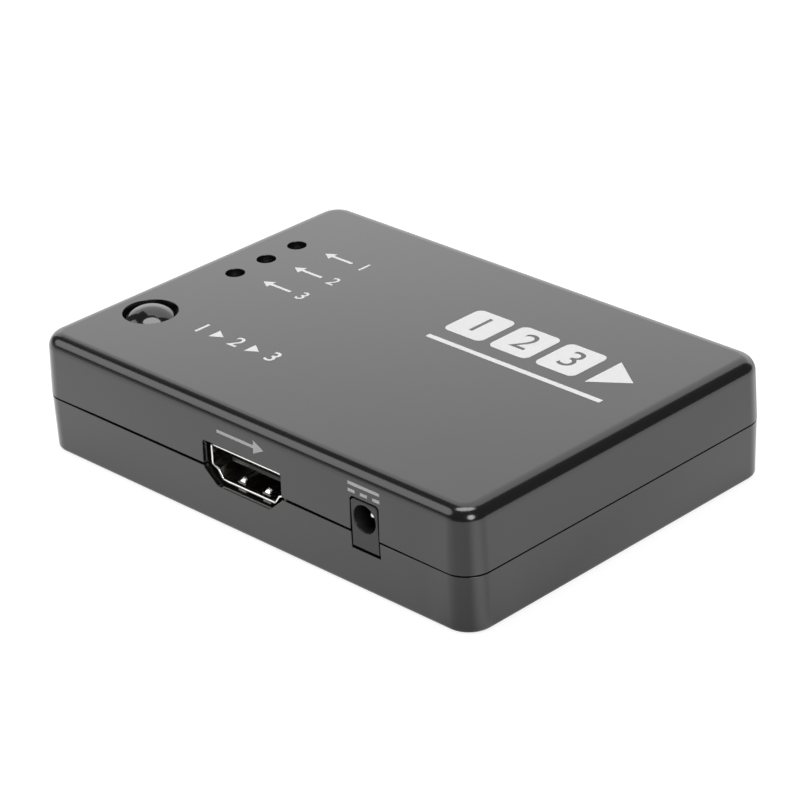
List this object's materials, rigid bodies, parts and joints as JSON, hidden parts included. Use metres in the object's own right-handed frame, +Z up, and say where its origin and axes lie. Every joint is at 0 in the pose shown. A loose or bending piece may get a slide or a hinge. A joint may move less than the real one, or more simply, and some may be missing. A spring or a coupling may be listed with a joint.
{
  "type": "hdmi switch box",
  "caption": "Flat two-part moulded box that switches video sources: input sockets at the back, output socket and supply jack in front, push button and indicators on top.",
  "frame": {"origin": "on the table under the middle of the box", "axes": "+Z up; +X along the front, left to right; the front with the output socket faces -Y"},
  "size_m": [0.0844, 0.06, 0.0186],
  "materials": {
    "case": "satin, fine moulded texture",
    "button": "gloss",
    "board": "solder mask",
    "screw": "black oxide",
    "socket_metal": "bright nickel plate",
    "insulator": "matt",
    "contact": "gold flash",
    "lens": "clear",
    "lead": "tinned",
    "jack_body": "satin",
    "jack_metal": "nickel plate",
    "spring_metal": "bare",
    "switch_body": "matt",
    "switch_cover": "plain",
    "chip": "matt",
    "capacitor_can": "plain",
    "ceramic": "fired",
    "resistor": "glazed"
  },
  "bodies": {
    "case": {"top_cover": "case", "bottom_case": "case", "circuit_board": "board", "case_screws": "screw", "output_shell": "socket_metal", "input_shell_1": "socket_metal", "input_shell_2": "socket_metal", "input_shell_3": "socket_metal", "output_insulator": "insulator", "input_insulator_1": "insulator", "input_insulator_2": "insulator", "input_insulator_3": "insulator", "output_contacts": "contact", "input_contacts_1": "contact", "input_contacts_2": "contact", "input_contacts_3": "contact", "led_lens_1": "lens", "led_lens_2": "lens", "led_lens_3": "lens", "led_leads_1": "lead", "led_leads_2": "lead", "led_leads_3": "lead", "regulator_leads": "lead", "switch_terminals": "lead", "dc_jack_housing": "jack_body", "dc_centre_pin": "jack_metal", "dc_spring": "spring_metal", "switch_dome": "spring_metal", "switch_base": "switch_body", "switch_plate": "switch_cover", "switch_chip": "chip", "voltage_regulator": "chip", "supply_capacitor": "capacitor_can", "chip_capacitors": "ceramic", "chip_resistors": "resistor"},
    "button": {"select_button": "button", "switch_plunger": "switch_body"}
  },
  "joints": [
    {"name": "button_press", "type": "slide", "parent": "case", "child": "button", "axis": [0, 0, -1], "range_m": [0, 0.0003], "stiffness_N_per_m": 3000, "springref_m": -0.0002, "deforming": ["switch_dome"]}
  ]
}
